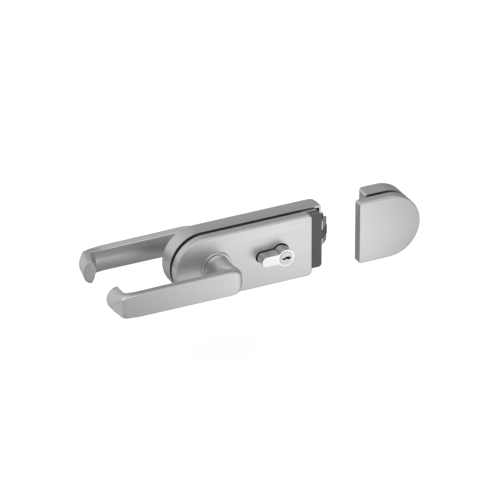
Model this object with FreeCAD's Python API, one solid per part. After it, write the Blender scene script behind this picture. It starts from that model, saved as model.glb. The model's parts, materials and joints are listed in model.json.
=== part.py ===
import FreeCAD, Part
import math
import os
from FreeCAD import Vector

# Lever lockset for a frameless glass door: a lock with two levers and a strike box.
# Millimetres. X runs along the lock towards the strike box, Y from the front face to the
# rear, Z up. The origin is on the lever axis, in the plane where the rear half meets the glass.

# Outline of the lock
lock_height = 63.8
cover_length = 140.8
lever_to_edge = 99.4
rebate = 16.4
strike_rebate = 13.2
front_depth = 9.6
rear_depth = 16.6
closed_slot = 4.4
shell_wall = 2.0
cover_corner = 4.2
case_corner = 1.6
face_edge = 1.2
rear_end_radius = 4.0
rim_setback = 0.2

# Plates, gaskets and clearances
gasket = 1.0
plate = 2.0
inner_plate = 1.0
fit_gap = 0.1
run_gap = 0.05
side_gap = 0.2
thread_gap = 0.02

# Mechanism layout
works_depth = 9.0
lever_angle = 40.0
latch_travel = 11.4
latch_height = 24.8
latch_reach = 11.2
latch_back = 18.1
nose_height = 9.4
nose_drop = 1.2
nose_proud = 0.6
nose_length = 18.3
nose_pin_radius = 1.5
tail_thick = 3.0
tail_width = 5.0
tail_clear = 3.8
spring_wire = 0.7
spring_radius = 2.4
spring_spacing = 13.0
spring_pocket = 10.0
stop_gap = 1.2

# Follower
hub_radius = 10.0
journal_radius = 6.5
bush_wall = 1.5
square = 8.0
square_gap = 0.05
ball_radius = 2.5
arm_width = 2.2
arm_root = 4.8
fork_gap = 0.15
fork_wall = 3.5
low_arm_reach = 15.0
low_arm_width = 4.0
low_ball_radius = 3.0
lever_spring_wire = 1.0
lever_spring_radius = 2.9
lever_spring_length = 26.0

# Euro profile cylinder
cylinder_from_edge = 33.4
barrel_radius = 8.5
web_width = 10.0
profile_length = 33.0
front_half = 35.0
rear_half = 27.0
cylinder_proud = 12.4
cam_width = 10.0
cam_slot = 10.4
cam_radius = 15.3
cam_room = 16.0
cam_nose = 7.0
cam_hub = 7.5
plug_radius = 6.7
plug_proud = 0.5
keyway_width = 2.0
keyway_height = 8.4
keyway_deep = 26.0
cutout_gap = 1.0
key_angle = 70.0
fixing_screw_radius = 2.5

# Deadbolt
bolt_throw = 14.0
bolt_floor_gap = 7.8
bolt_top = -13.0
bolt_setback = 0.3
bolt_tail_thick = 6.0
bolt_head_length = 27.0
lobe_top = -9.6
lobe_wall = 2.4
leaf_thick = 0.5
leaf_ahead = 8.0
leaf_half = 10.0
notch_gap = 0.25

# Clamp screws, their nuts and sleeves
clamp_radius = 2.0
clamp_head_radius = 3.5
clamp_head = 3.0
clamp_post_radius = 3.0
sleeve_radius = 3.8
clamp_inset = 19.8
clamp_left_z = 11.0
clamp_right_x = 90.0
clamp_rim_inset = 6.6
post_radius = 2.8
post_end_inset = 7.8
post_low_inset = 13.8
post_rim_inset = 5.9
post_high_inset = 6.9
post_low_rise = 12.4
post_mid_x = 56.0
post_bore = 6.0
post_low_x = 36.0
post_case_inset = 9.8
post_screw_radius = 1.5
post_screw_head = 2.6
grub_radius = 2.0
front_grub_radius = 1.5
front_grub_short = 1.0
grub_sunk = 0.3
lug_half = 4.0
front_lug_depth = 4.2
rear_lug_centre = 3.5
rear_lug_wall = 1.5
lug_bolt_gap = 2.2

# Edge block and door buffer
block_depth = 8.0
block_length = 12.8
block_height = 56.8
block_pad = 4.8
block_radius = 3.2
edge_plate_thick = 1.5
edge_plate_reach = 10.8
edge_plate_height = 61.4
edge_plate_hidden = 5.0
block_core_start = 2.6
block_core_width = 6.0
block_screw_radius = 1.5
block_screw_head = 2.6
block_screw_inset = 12.0
buffer_radius = 4.7
buffer_height = 18.5
buffer_proud = 4.2

# Levers
lever_reach = 36.5
grip_edge = 8.5
grip_thick = 11.2
grip_inner_half = 11.0
grip_half_free = 11.6
grip_half_neck = 12.3
neck_radius = 11.6
neck_flare = 13.4
flare_length = 6.0
grip_corner = 9.5
crook_radius = 9.0
wedge_half = 8.0
hook_bulge = 4.0
hook_tip = 11.0
hook_half_root = 11.5
hook_half_tip = 11.0
front_hook_x = 107.0
front_hook_radius = 11.0
front_facet_x = 112.4
front_facet_run = 5.1
front_facet_fall = 7.1
rear_root_x = 97.6
rear_root_radius = 12.6
rear_tip_x = 107.0
rear_tip_radius = 8.7
rear_facet_x = 101.2
rear_facet_run = 13.5
rear_facet_fall = 7.1
boss_radius = 8.0
boss_inside = 2.6
collar_radius = 15.5
collar_height = 1.8
collar_bore_gap = 0.05
collar_spigot = 10.0
socket_depth = 24.0
set_screw_out = 15.0
set_screw_radius = 2.5
set_screw_sunk = 1.0

# Strike box
strike_gap = 49.7
strike_length = 64.2
strike_corner = 2.5
pocket_depth = 14.0
pocket_wall = 1.2
latch_opening_gap = 1.2
strike_clamp_inset = 28.5
strike_clamp_z = 20.0

# Places worked out from the sizes above
half = lock_height / 2
round_x = lever_to_edge - cover_length + half
case_end = lever_to_edge + rebate
front_back = -closed_slot
front_face = front_back - front_depth
rear_face = rear_depth
rear_inner = rear_face - shell_wall
front_inner = front_face + shell_wall
works_front = gasket + plate
works_low = works_front + side_gap
works_high = works_low + works_depth
works_mid = (works_low + works_high) / 2
inner_plate_y = works_high + side_gap
inner_plate_back = inner_plate_y + inner_plate
front_plate_y = front_back - gasket - plate
latch_tip = case_end + latch_reach
latch_low = case_end - latch_back
arm_reach = latch_travel / (2 * math.sin(math.radians(lever_angle / 2)))
cylinder_x = lever_to_edge - cylinder_from_edge
cylinder_front = front_face - cylinder_proud
cam_y = cylinder_front + front_half
cylinder_rear = cam_y + rear_half
tab_end = cylinder_x - (profile_length - barrel_radius)
fixing_x = (tab_end + cylinder_x - cam_room) / 2
block_start = lever_to_edge + 3 * fit_gap
core_start = block_start + block_core_start
core_end = core_start + block_core_width
glass_edge = lever_to_edge - edge_plate_hidden - side_gap
strike_left = lever_to_edge + strike_gap
strike_case = strike_left + strike_rebate
strike_round = strike_left + strike_length - half
Z_AXIS = Vector(0, 0, 1)
Y_AXIS = Vector(0, 1, 0)
X_AXIS = Vector(1, 0, 0)

clamp_left_x = round_x - clamp_inset
clamp_right_z = half - clamp_rim_inset
floor_z = -half + shell_wall + fit_gap
bolt_low = floor_z + bolt_floor_gap
lug_top = bolt_low - lug_bolt_gap
clamp_places = [
    (clamp_left_x, clamp_left_z),
    (clamp_left_x, -clamp_left_z),
    (clamp_right_x, clamp_right_z),
    (clamp_right_x, -clamp_right_z),
]
post_places = [
    (round_x - post_end_inset, half - post_high_inset),
    (round_x - post_low_inset, post_low_rise - half),
    (post_mid_x, half - post_rim_inset),
    (post_low_x, post_high_inset - half),
    (case_end - post_case_inset, half - post_rim_inset),
    (case_end - post_case_inset, post_rim_inset - half),
]
strike_clamp_places = [
    (strike_case + strike_clamp_inset, strike_clamp_z),
    (strike_case + strike_clamp_inset, -strike_clamp_z),
]
grub_places = [round_x + 8.0, cylinder_x - 9.0]

parts = {}


def box(x0, x1, y0, y1, z0, z1):
    """A block between two corners, in any order."""
    low = Vector(min(x0, x1), min(y0, y1), min(z0, z1))
    return Part.makeBox(abs(x1 - x0), abs(y1 - y0), abs(z1 - z0), low)


def rod_y(x, z, radius, y0, y1):
    """A round bar along Y."""
    return Part.makeCylinder(radius, y1 - y0, Vector(x, y0, z), Y_AXIS)


def rod_x(y, z, radius, x0, x1):
    """A round bar along X."""
    return Part.makeCylinder(radius, x1 - x0, Vector(x0, y, z), X_AXIS)


def rod_z(x, y, radius, z0, z1):
    """A round bar along Z."""
    return Part.makeCylinder(radius, z1 - z0, Vector(x, y, z0), Z_AXIS)


def ring_y(x, z, outer, inner, y0, y1):
    """A tube along Y."""
    return rod_y(x, z, outer, y0, y1).cut(rod_y(x, z, inner, y0 - 1, y1 + 1))


def prism_y(points, y0, y1):
    """A prism along Y from corners given as X and Z."""
    corners = [Vector(x, y0, z) for x, z in points]
    face = Part.Face(Part.makePolygon(corners + corners[:1]))
    return face.extrude(Vector(0, y1 - y0, 0))


def prism_z(points, z0, z1):
    """A prism along Z from corners given as X and Y."""
    corners = [Vector(x, y, z0) for x, y in points]
    face = Part.Face(Part.makePolygon(corners + corners[:1]))
    return face.extrude(Vector(0, 0, z1 - z0))


def group(shapes):
    """Separate solids kept together as one group."""
    return Part.makeCompound(shapes)


def fuse(shapes):
    """One solid made of touching or crossing ones."""
    first = shapes[0]
    return first.multiFuse(shapes[1:]).removeSplitter()


def d_prism(centre_x, radius, flat_x, corner, y0, y1):
    """A D outline, round at centre_x and flat at flat_x, carried along Y."""
    way = 1 if flat_x > centre_x else -1
    turn = math.sqrt(0.5) * corner
    inside = flat_x - way * corner
    start = Vector(centre_x, y0, radius)
    top = Vector(inside, y0, radius)
    edges = [Part.LineSegment(start, top).toShape()]
    last = top
    if corner > 0:
        mid = Vector(inside + way * turn, y0, radius - corner + turn)
        last = Vector(flat_x, y0, radius - corner)
        edges.append(Part.Arc(top, mid, last).toShape())
    low = Vector(flat_x, y0, -radius + corner)
    edges.append(Part.LineSegment(last, low).toShape())
    bottom = Vector(inside, y0, -radius)
    if corner > 0:
        mid = Vector(inside + way * turn, y0, -radius + corner - turn)
        edges.append(Part.Arc(low, mid, bottom).toShape())
    finish = Vector(centre_x, y0, -radius)
    edges.append(Part.LineSegment(bottom, finish).toShape())
    far = Vector(centre_x - way * radius, y0, 0)
    edges.append(Part.Arc(finish, far, start).toShape())
    face = Part.Face(Part.Wire(edges))
    return face.extrude(Vector(0, y1 - y0, 0))


def edges_at_y(shape, y):
    """The edges that lie in the plane at this Y."""
    found = []
    for edge in shape.Edges:
        box_y = edge.BoundBox
        if abs(box_y.YMin - y) < 1e-4 and abs(box_y.YMax - y) < 1e-4:
            found.append(edge)
    return found


def shell(centre_x, flat_x, corner, outer_y, rim_y, end_radius):
    """A cover open at rim_y, its outer face at outer_y, with softened edges."""
    out = 1 if outer_y > rim_y else -1
    body = d_prism(centre_x, half, flat_x, corner, rim_y, outer_y)
    if end_radius > 0:
        way = 1 if flat_x > centre_x else -1
        near = flat_x - way * end_radius
        turn = math.sqrt(0.5) * end_radius
        a = Vector(near, outer_y, -half - 1)
        b = Vector(flat_x, outer_y - out * end_radius, -half - 1)
        m = Vector(near + way * turn, outer_y - out * (end_radius - turn), -half - 1)
        corner_point = Vector(flat_x + way, outer_y, -half - 1)
        far_point = Vector(flat_x + way, outer_y + out, -half - 1)
        near_point = Vector(near, outer_y + out, -half - 1)
        side = Vector(flat_x + way, outer_y - out * end_radius, -half - 1)
        edges = [
            Part.Arc(a, m, b).toShape(),
            Part.LineSegment(b, side).toShape(),
            Part.LineSegment(side, far_point).toShape(),
            Part.LineSegment(far_point, near_point).toShape(),
            Part.LineSegment(near_point, a).toShape(),
        ]
        cutter = Part.Face(Part.Wire(edges)).extrude(Vector(0, 0, lock_height + 2))
        body = body.cut(cutter)
    else:
        body = body.makeFillet(face_edge, edges_at_y(body, outer_y))
    inner_flat = flat_x - (shell_wall if flat_x > centre_x else -shell_wall)
    inner_corner = max(corner - shell_wall, 0.0)
    hollow = d_prism(
        centre_x, half - shell_wall, inner_flat, inner_corner,
        rim_y - out, outer_y - out * shell_wall,
    )
    return body.cut(hollow)


def inset_d(centre_x, flat_x, corner, y0, y1):
    """A plate or gasket that fits inside a cover's rim."""
    way = 1 if flat_x > centre_x else -1
    inset = shell_wall + fit_gap
    inner_corner = max(corner - inset, 0.0)
    return d_prism(centre_x, half - inset, flat_x - way * inset, inner_corner, y0, y1)


def euro_profile(grow, y0, y1):
    """The round-and-web section of a profile cylinder, laid on its side."""
    barrel = rod_y(cylinder_x, 0, barrel_radius + grow, y0, y1)
    web_half = web_width / 2 + grow
    end_x = tab_end - grow + web_half
    web = box(end_x, cylinder_x, y0, y1, -web_half, web_half)
    end = rod_y(end_x, 0, web_half, y0, y1)
    return fuse([barrel, web, end])


def coil(radius, wire, length, turns, start, axis_turn):
    """A compression spring from an unbroken helix, carried along X from start."""
    pitch = (length - wire) / turns
    helix = Part.makeHelix(pitch, pitch * turns, radius)
    section = Part.Wire(Part.makeCircle(wire / 2, Vector(radius, 0, 0), Y_AXIS))
    spring = Part.Wire(helix).makePipeShell([section], True, True)
    spring.rotate(Vector(0, 0, 0), Y_AXIS, 90)
    spring.rotate(Vector(0, 0, 0), X_AXIS, axis_turn)
    spring.translate(start + Vector(wire / 2, 0, 0))
    return spring


def turned(shape, degrees, x, z):
    """The shape after a turn about the Y direction through x, z; positive takes Z to X."""
    copy = shape.copy()
    copy.rotate(Vector(x, 0, z), Y_AXIS, degrees)
    return copy


# Shell and plates of the rear half
def build_rear_half():
    case = shell(round_x, case_end, case_corner, rear_face, rim_setback, rear_end_radius)
    cuts = [
        rod_y(0, 0, collar_spigot + thread_gap, rear_inner - 1, rear_face + 1),
        euro_profile(cutout_gap, rear_inner - 1, rear_face + 1),
        latch_window(side_gap),
        deadbolt_window(side_gap),
        rod_x(buffer_y(), buffer_height, buffer_stem(), case_end - shell_wall - 1, case_end + 1),
        fixing_screw(fit_gap),
    ]
    for x in grub_places:
        cuts.append(rod_z(x, lug_y(), grub_radius + fit_gap, -half - 1, -half + shell_wall + 1))
    parts["rear_case"] = case.cut(group(cuts))

    base = inset_d(round_x, case_end, case_corner, gasket, works_front)
    lugs = []
    for x in grub_places:
        lugs.append(lug(x, works_front, lug_y() + grub_radius + rear_lug_wall))
    base = fuse([base] + lugs)
    cuts = [
        rod_y(0, 0, bush_radius() + thread_gap, 0, works_front + 1),
        euro_profile(cutout_gap, 0, works_front + 1),
    ]
    for x, z in clamp_places:
        cuts.append(rod_y(x, z, clamp_radius + run_gap, 0, works_front + 1))
    for x in grub_places:
        cuts.append(rod_z(x, lug_y(), grub_radius + thread_gap, -half, lug_top + 1))
    parts["rear_base_plate"] = base.cut(group(cuts))

    seal = inset_d(round_x, glass_edge + shell_wall + fit_gap, 0, 0, gasket)
    cuts = [
        rod_y(0, 0, bush_radius() + 1, -1, gasket + 1),
        euro_profile(1, -1, gasket + 1),
    ]
    for x, z in clamp_places:
        cuts.append(rod_y(x, z, sleeve_radius + fit_gap, -1, gasket + 1))
    parts["rear_gasket"] = seal.cut(group(cuts))

    pad = inset_d(round_x, case_end, case_corner, side_gap, gasket)
    pad = pad.common(box(glass_edge + fit_gap, case_end, -1, gasket + 1, -half, half))
    parts["rebate_pad"] = pad.cut(block_core(fit_gap, -1, gasket + 1))

    cover = inset_d(round_x, case_end, case_corner, inner_plate_y, inner_plate_back)
    cuts = [
        rod_y(0, 0, bush_radius() + thread_gap, 0, rear_face),
        rod_y(cylinder_x, 0, cam_room + 1, 0, rear_face),
        euro_profile(cutout_gap, 0, rear_face),
    ]
    for x, z in post_places:
        cuts.append(rod_y(x, z, post_screw_radius + fit_gap, 0, rear_face))
    parts["mechanism_plate"] = cover.cut(group(cuts))

    posts = []
    screws = []
    for x, z in post_places:
        post = rod_y(x, z, post_radius, works_front, inner_plate_y)
        bore_start = inner_plate_y - post_bore
        posts.append(post.cut(rod_y(x, z, post_screw_radius + thread_gap, bore_start, rear_face)))
        shank = rod_y(x, z, post_screw_radius, bore_start + 0.5, inner_plate_back)
        head = rod_y(x, z, post_screw_head, inner_plate_back, inner_plate_back + 0.8)
        screws.append(fuse([shank, head]))
    parts["mechanism_posts"] = group(posts)
    parts["mechanism_screws"] = group(screws)

    nuts = []
    sleeves = []
    for x, z in clamp_places:
        nuts.append(ring_y(x, z, clamp_post_radius, clamp_radius + run_gap, works_front, works_high))
        sleeve_front = front_back + side_gap
        sleeves.append(ring_y(x, z, sleeve_radius, clamp_radius + run_gap, sleeve_front, gasket))
    parts["clamp_nuts"] = group(nuts)
    parts["spacer_sleeves"] = group(sleeves)

    grubs = []
    for x in grub_places:
        screw = rod_z(x, lug_y(), grub_radius, -half + grub_sunk, lug_top + grub_sunk)
        grubs.append(screw.cut(hex_z(x, lug_y(), 1.0, -half, -half + 2.3)))
    parts["rear_case_screws"] = group(grubs)


def lug_y():
    """The rear grub screws' place in depth."""
    return works_front + rear_lug_centre


def front_lug_y():
    """The front grub screws' place in depth."""
    return front_plate_y - front_lug_depth / 2


def lug(x, y0, y1):
    """A threaded block at the lower edge of a base plate."""
    return box(x - lug_half, x + lug_half, y0, y1, floor_z, lug_top)


def hex_z(x, y, across, z0, z1):
    """A six-sided socket for a hex key, along Z."""
    points = []
    for i in range(6):
        a = math.radians(60 * i)
        points.append((x + across * math.cos(a), y + across * math.sin(a)))
    return prism_z(points, z0, z1)


def bush_radius():
    return journal_radius + run_gap + bush_wall


def latch_box(grow, x0, x1):
    """The latch bolt's running section."""
    tall = latch_height / 2 + grow
    return box(x0, x1, works_low - grow, works_high + grow, -tall, tall)


def latch_window(grow):
    return latch_box(grow, case_end - shell_wall - 1, case_end + 1)


def deadbolt_window(grow):
    low = bolt_low - grow
    high = bolt_top + grow
    x0 = case_end - shell_wall - 1
    return box(x0, case_end + 1, works_low - grow, works_high + grow, low, high)


def buffer_y():
    return works_low + 1.8


def buffer_stem():
    return buffer_radius - 2.0


def fixing_screw(grow):
    """The long screw that holds the cylinder, from the case's lower edge."""
    shank = rod_z(fixing_x, cam_y, fixing_screw_radius + grow, -half, web_width / 2)
    wide = fixing_screw_radius + 1.7 + grow
    thin = fixing_screw_radius + grow
    head = Part.makeCone(wide, thin, shell_wall, Vector(fixing_x, cam_y, -half), Z_AXIS)
    return shank.fuse(head).removeSplitter()


# Latch bolt, its nose, tail and springs
def bevel_points(shift):
    """Plan of the bolt's slanted end: rear corner proud, front corner cut back."""
    tip = latch_tip + shift
    edge = works_high - 1.0
    cut = edge - works_low
    return [
        (tip, works_high),
        (tip, edge),
        (tip - cut, works_low),
    ]


def bevelled(z0, z1, x0, shift):
    points = [(x0, works_low), (x0, works_high)] + bevel_points(shift)
    return prism_z(points, z0, z1)


def build_latch():
    tall = latch_height / 2
    head = bevelled(-tall, tall, latch_low, 0)
    nose_low = -nose_drop - nose_height / 2
    nose_high = -nose_drop + nose_height / 2
    nose_x = latch_tip - nose_length
    slot = box(nose_x - fit_gap, latch_tip + 1, works_low - 1, works_high + 1,
               nose_low - fit_gap, nose_high + fit_gap)
    pin_x = nose_x + 3.5
    pin_hole = rod_z(pin_x, works_mid, nose_pin_radius + thread_gap, -tall - 1, tall + 1)
    foot_low = tall - tail_foot()
    foot = tail_foot_box(fit_gap, foot_low, tall + 1)
    pockets = []
    for z in spring_levels():
        pockets.append(rod_x(works_mid, z, spring_radius + spring_wire / 2 + 0.25,
                             latch_low - 1, latch_low + spring_pocket))
    parts["latch_bolt"] = head.cut(group([slot, pin_hole, foot] + pockets))
    nose = bevelled(nose_low, nose_high, nose_x, nose_proud)
    parts["latch_nose"] = nose.cut(pin_hole)
    parts["latch_nose_pin"] = rod_z(pin_x, works_mid, nose_pin_radius, -tall + 0.5, tall - 0.5)

    fork_x = arm_reach * math.sin(math.radians(lever_angle / 2))
    inner = ball_radius + fork_gap
    bar_low = tall + tail_clear
    bar_high = bar_low + tail_width
    y0 = works_mid - tail_thick / 2
    y1 = works_mid + tail_thick / 2
    fork_low = arm_reach * math.cos(math.radians(lever_angle / 2)) - ball_radius - 0.4
    fork = box(fork_x - inner - fork_wall, fork_x + inner + fork_wall, y0, y1, fork_low, bar_high)
    bar = box(fork_x, tail_foot_x() + 6, y0, y1, bar_low, bar_high)
    foot = tail_foot_box(0, foot_low + fit_gap, bar_high)
    tail = fuse([fork, bar, foot])
    slot_top = arm_reach + ball_radius + fork_gap
    slot = box(fork_x - inner, fork_x + inner, y0 - 1, y1 + 1, fork_low - 1, slot_top)
    parts["latch_tail"] = tail.cut(slot)

    springs = []
    stops = []
    for z in spring_levels():
        start_x = spring_stop_x() + 0.1
        end_x = latch_low + spring_pocket - 0.1
        start = Vector(start_x, works_mid, z)
        springs.append(coil(spring_radius, spring_wire, end_x - start_x, 12, start, 0))
        stop_low = spring_stop_x() - 2.0
        stops.append(box(stop_low, spring_stop_x(), works_front, works_high, z - 3, z + 3))
    parts["latch_springs"] = group(springs)
    parts["spring_stops"] = group(stops)


def spring_levels():
    return [spring_spacing / 2, -spring_spacing / 2]


def spring_stop_x():
    return latch_low - latch_travel - stop_gap


def tail_foot():
    return 2.4


def tail_foot_x():
    return latch_low + 1.0


def tail_foot_box(grow, z0, z1):
    y0 = works_mid - tail_thick / 2 - grow
    y1 = works_mid + tail_thick / 2 + grow
    return box(tail_foot_x() - grow, tail_foot_x() + 6 + grow, y0, y1, z0, z1)


# Follower, spindle and the lever's spring
def build_follower():
    rest = lever_angle / 2
    y0 = works_mid - tail_thick / 2 + fit_gap
    y1 = works_mid + tail_thick / 2 - fit_gap
    hub = rod_y(0, 0, hub_radius, works_low, works_high)
    journals = rod_y(0, 0, journal_radius, works_low - plate, works_high + side_gap + inner_plate)
    arm = prism_y(
        [
            (-arm_root / 2, 0),
            (arm_root / 2, 0),
            (arm_width / 2, arm_reach),
            (-arm_width / 2, arm_reach),
        ],
        y0, y1,
    )
    ball = rod_y(0, arm_reach, ball_radius, y0, y1)
    arm = turned(fuse([arm, ball]), rest, 0, 0)
    low = prism_y(
        [
            (-low_arm_width / 2, 0),
            (low_arm_width / 2, 0),
            (low_arm_width / 2, -low_arm_reach),
            (-low_arm_width / 2, -low_arm_reach),
        ],
        works_mid - 3, works_mid + 3,
    )
    low_ball = rod_y(0, -low_arm_reach, low_ball_radius, works_mid - 3, works_mid + 3)
    low = turned(fuse([low, low_ball]), rest, 0, 0)
    follower = fuse([hub, journals, arm, low])
    opening = square / 2 + square_gap
    hole = box(-opening, opening, -1, rear_face, -opening, opening)
    parts["follower"] = follower.cut(hole)

    bushes = []
    for y0, y1 in [(gasket, works_front), (inner_plate_y, inner_plate_back)]:
        bushes.append(ring_y(0, 0, bush_radius(), journal_radius + run_gap, y0, y1))
    parts["follower_bushes"] = group(bushes)

    front_end = front_face + boss_inside - socket_depth
    rear_end = rear_face - boss_inside + socket_depth
    parts["spindle"] = box(-square / 2, square / 2, front_end + 2, rear_end - 1,
                           -square / 2, square / 2)

    ball_x = -low_arm_reach * math.sin(math.radians(rest))
    ball_z = -low_arm_reach * math.cos(math.radians(rest))
    start_x = ball_x + low_ball_radius + 0.1
    stop_x = start_x + lever_spring_length
    start = Vector(start_x, works_mid, ball_z)
    parts["lever_spring"] = coil(
        lever_spring_radius, lever_spring_wire, lever_spring_length - 0.1, 10, start, 0
    )
    parts["lever_spring_stop"] = box(stop_x, stop_x + 3, works_front, works_high,
                                     ball_z - 4, ball_z + 4)


# Cylinder with its plugs and cam
def keyway(y0, y1):
    """A stepped slot, thin towards the web and thick at the other side."""
    w = keyway_width / 2
    h = keyway_height / 2
    points = [
        (-h, -w * 0.5), (-h * 0.35, -w * 1.4), (0, -w * 0.2), (h * 0.45, -w * 1.6),
        (h, -w * 1.2), (h, w * 1.2), (h * 0.4, w * 1.2), (-h * 0.05, w * 1.6),
        (-h * 0.4, w * 0.4), (-h, w * 0.6),
    ]
    shifted = [(cylinder_x + x, z) for x, z in points]
    return prism_y(shifted, y0, y1)


def cam_shape(grow):
    """The cam's nose, pointing straight down before it is turned."""
    tip = cam_radius + grow
    wide = cam_nose / 2 + grow
    round_z = -tip + wide
    y0 = cam_y - cam_width / 2
    y1 = cam_y + cam_width / 2
    bar = box(cylinder_x - wide, cylinder_x + wide, y0, y1, round_z, 0)
    end = rod_y(cylinder_x, round_z, wide, y0, y1)
    return fuse([bar, end])


def build_cylinder():
    body = euro_profile(0, cylinder_front, cylinder_rear)
    ring = rod_y(cylinder_x, 0, cam_room, cam_y - cam_slot / 2, cam_y + cam_slot / 2)
    bore = rod_y(cylinder_x, 0, plug_radius + run_gap, cylinder_front - 1, cylinder_rear + 1)
    thread = rod_z(fixing_x, cam_y, fixing_screw_radius + thread_gap, -half, half)
    parts["cylinder_body"] = body.cut(group([ring, bore, thread]))
    screw = fixing_screw(0)
    parts["cylinder_screw"] = screw.cut(hex_z(fixing_x, cam_y, 1.5, -half - 1, -half + 1.6))

    front = rod_y(cylinder_x, 0, plug_radius, cylinder_front - plug_proud, cam_y - cam_width / 2)
    slot = keyway(cylinder_front - 2, cylinder_front + keyway_deep)
    parts["front_plug"] = front.cut(slot)
    rear = rod_y(cylinder_x, 0, plug_radius, cam_y + cam_width / 2 + fit_gap,
                 cylinder_rear + plug_proud)
    slot = keyway(cylinder_rear - keyway_deep + 8, cylinder_rear + 2)
    parts["rear_plug"] = rear.cut(slot)
    hub = rod_y(cylinder_x, 0, cam_hub, cam_y - cam_width / 2, cam_y + cam_width / 2)
    cam = turned(fuse([hub, cam_shape(0)]), key_angle / 2, cylinder_x, 0)
    parts["cylinder_cam"] = cam


# Deadbolt with the notch that the cam works
def build_deadbolt():
    end_x = case_end - bolt_setback
    head_x = end_x - bolt_head_length
    low = bolt_low
    head = box(head_x, end_x, works_low, works_high, low, bolt_top)
    y0 = works_mid - bolt_tail_thick / 2
    y1 = works_mid + bolt_tail_thick / 2
    notch_x = cylinder_x - bolt_throw / 2
    reach = cam_nose / 2 + 3.0
    tail_x = notch_x - reach - lobe_wall + 0.5
    tail = box(tail_x, head_x + 1, y0, y1, low, bolt_top)
    lobes = box(tail_x, notch_x + reach + lobe_wall, y0, y1, bolt_top - 1, lobe_top)
    bolt = fuse([head, tail, lobes])
    steps = 14
    sweep = []
    for i in range(steps + 1):
        share = i / steps
        angle = key_angle / 2 - key_angle * share
        nose = turned(cam_shape(notch_gap), angle, cylinder_x, 0)
        nose.translate(Vector(-bolt_throw * share, 0, 0))
        sweep.append(nose)
    swept = sweep[0].multiFuse(sweep[1:])
    parts["deadbolt"] = bolt.cut(swept)

    leaf_low = low - side_gap
    thick = leaf_thick
    mid_x = cylinder_x + leaf_ahead
    x0 = mid_x - leaf_half
    x1 = mid_x + leaf_half
    upper = Part.Arc(Vector(x0, y0 + 1, floor_z + thick), Vector(mid_x, y0 + 1, leaf_low),
                     Vector(x1, y0 + 1, floor_z + thick)).toShape()
    lower = Part.Arc(Vector(x1, y0 + 1, floor_z), Vector(mid_x, y0 + 1, leaf_low - thick),
                     Vector(x0, y0 + 1, floor_z)).toShape()
    right = Part.LineSegment(Vector(x1, y0 + 1, floor_z + thick),
                             Vector(x1, y0 + 1, floor_z)).toShape()
    left = Part.LineSegment(Vector(x0, y0 + 1, floor_z),
                            Vector(x0, y0 + 1, floor_z + thick)).toShape()
    face = Part.Face(Part.Wire([upper, right, lower, left]))
    parts["deadbolt_leaf_spring"] = face.extrude(Vector(0, bolt_tail_thick - 2, 0))


# Edge block, edge plate and door buffer at the case end
def rounded_box(x0, x1, y0, y1, z_half, radius):
    """A flat pad whose right corners are rounded, carried along Y."""
    pad = box(x0, x1, y0, y1, -z_half, z_half)
    picked = []
    for edge in pad.Edges:
        b = edge.BoundBox
        if b.YMax - b.YMin > 0.01 and abs(b.XMin - x1) < 1e-6:
            picked.append(edge)
    return pad.makeFillet(radius, picked)


def block_screw(x, z, grow):
    """A countersunk screw from the base plate into the edge block."""
    radius = block_screw_radius + grow
    head = block_screw_head + grow
    front = -block_depth + block_screw_radius - grow
    shank = rod_y(x, z, radius, front, works_front)
    cone = Part.makeCone(radius, head, head - radius, Vector(x, works_front - head + radius, z), Y_AXIS)
    return shank.fuse(cone).removeSplitter()


def block_core(grow, y0, y1):
    """The part of the edge block that stands on the base plate."""
    tall = block_height / 2 - block_core_width + grow
    return box(core_start - grow, core_end + grow, y0, y1, -tall, tall)


def build_edge():
    pad_back = -block_depth + block_pad
    plate_back = pad_back + edge_plate_thick
    x1 = block_start + block_length
    pad = rounded_box(block_start, x1, -block_depth, pad_back, block_height / 2, block_radius)
    block = fuse([pad, block_core(0, pad_back, gasket)])
    screws = []
    holes = []
    plate_holes = []
    screw_z = block_height / 2 - block_screw_inset
    for z in [screw_z, -screw_z]:
        x = (core_start + core_end) / 2
        screws.append(block_screw(x, z, 0).cut(hex_y(x, z, 1.0, works_front - 1.2, works_front)))
        holes.append(block_screw(x, z, thread_gap))
        plate_holes.append(block_screw(x, z, thread_gap))
    parts["edge_block"] = block.cut(group(holes))
    parts["edge_block_screws"] = group(screws)
    parts["rear_base_plate"] = parts["rear_base_plate"].cut(group(plate_holes))
    strip = rounded_box(lever_to_edge - edge_plate_hidden, lever_to_edge + edge_plate_reach,
                        pad_back, plate_back, edge_plate_height / 2, block_radius)
    parts["edge_plate"] = strip.cut(block_core(fit_gap, pad_back - 1, plate_back + 1))

    y = buffer_y()
    stem = rod_x(y, buffer_height, buffer_stem() - fit_gap, case_end - shell_wall, case_end)
    ball_radius_big = (buffer_radius ** 2 + buffer_proud ** 2) / (2 * buffer_proud)
    centre = Vector(case_end + buffer_proud - ball_radius_big, y, buffer_height)
    dome = Part.makeSphere(ball_radius_big, centre)
    keep = rod_x(y, buffer_height, buffer_radius, case_end, case_end + buffer_proud + 1)
    parts["door_buffer"] = fuse([stem, dome.common(keep)])


def hex_y(x, z, across, y0, y1):
    """A six-sided socket for a hex key, along Y."""
    points = []
    for i in range(6):
        a = math.radians(60 * i)
        points.append((x + across * math.cos(a), z + across * math.sin(a)))
    return prism_y(points, y0, y1)


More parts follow.
